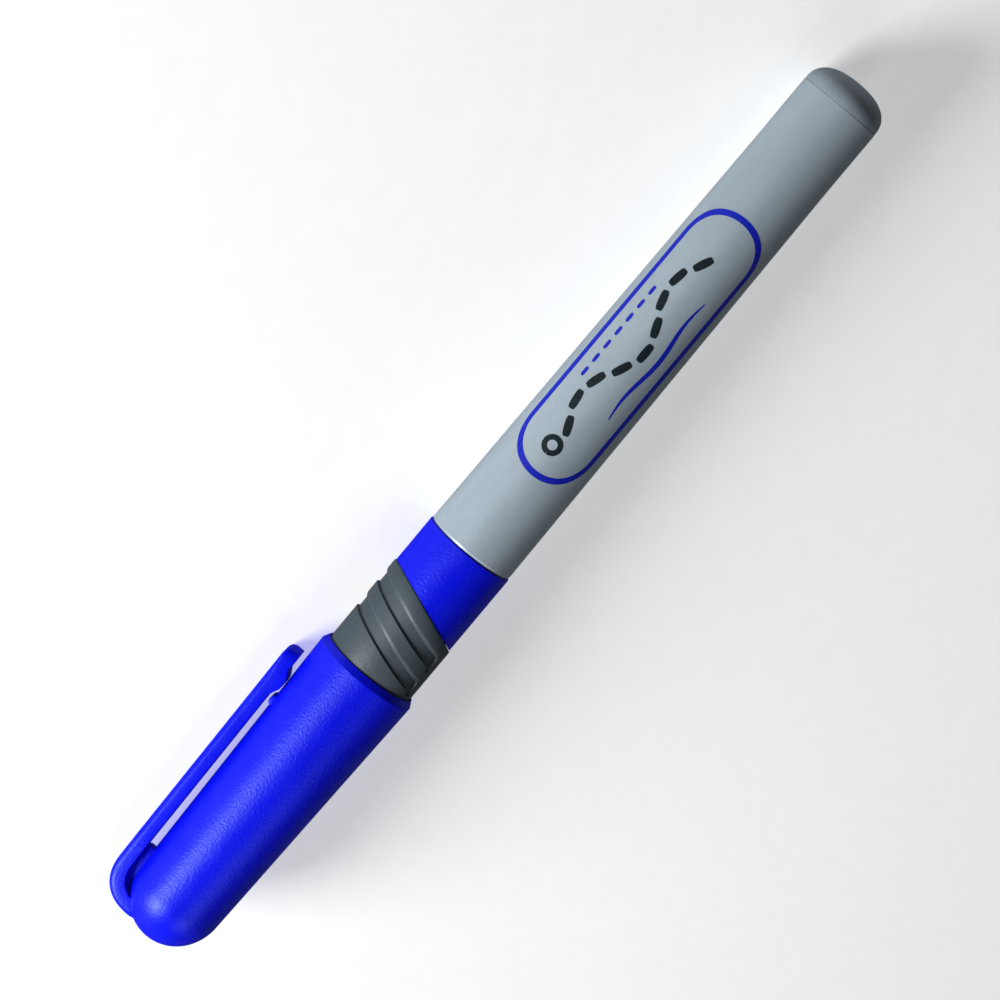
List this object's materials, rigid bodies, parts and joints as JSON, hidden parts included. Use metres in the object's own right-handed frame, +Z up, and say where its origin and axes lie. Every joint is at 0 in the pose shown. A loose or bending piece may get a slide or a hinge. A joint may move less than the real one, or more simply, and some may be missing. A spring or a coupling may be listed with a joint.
{
  "type": "fabric marking pen",
  "caption": "Capped fibre-tip marking pen for fabric: round barrel with a rubber grip, a push-on cap with a pocket clip, and a rounded tail.",
  "frame": {"origin": "middle of the capped pen's length and width, on the surface that it lies on", "axes": "+X along the pen's axis to the cap's closed end, -X to the tail, +Z up; the clip points down and to -Y, where its edge meets the surface"},
  "size_m": [0.137, 0.0162, 0.014],
  "materials": {
    "barrel": "satin moulded polypropylene",
    "tail": "satin moulded polypropylene",
    "front": "satin moulded polypropylene",
    "grip": "matt soft elastomer",
    "nib": "pressed fibre soaked with ink",
    "reservoir": "bonded fibre",
    "film": "clear glossy film",
    "cap": "satin moulded polypropylene",
    "liner": "natural moulded polyethylene"
  },
  "bodies": {
    "pen": {"barrel": "barrel", "tail_plug": "tail", "front_section": "front", "grip_sleeve": "grip", "nib": "nib", "reservoir_core": "reservoir", "reservoir_film": "film"},
    "liner": {"cap_liner": "liner"},
    "cap": {"cap_shell": "cap"},
    "clip": {"cap_clip": "cap"}
  },
  "joints": [
    {"name": "cap_pull", "type": "slide", "parent": "pen", "child": "liner", "axis": [1, 0, 0], "range_m": [0, 0.06]},
    {"name": "cap_turn", "type": "hinge", "parent": "liner", "child": "cap", "pos_m": [0.0251, 0.00112, 0.00698], "axis": [1, 0, 0], "continuous": true},
    {"name": "clip_flex", "type": "hinge", "parent": "cap", "child": "clip", "pos_m": [0.0589, -0.00569, 0.00265], "axis": [0, -0.5362, 0.8441], "range_deg": [0, 5], "stiffness_Nm_per_rad": 0.35}
  ]
}
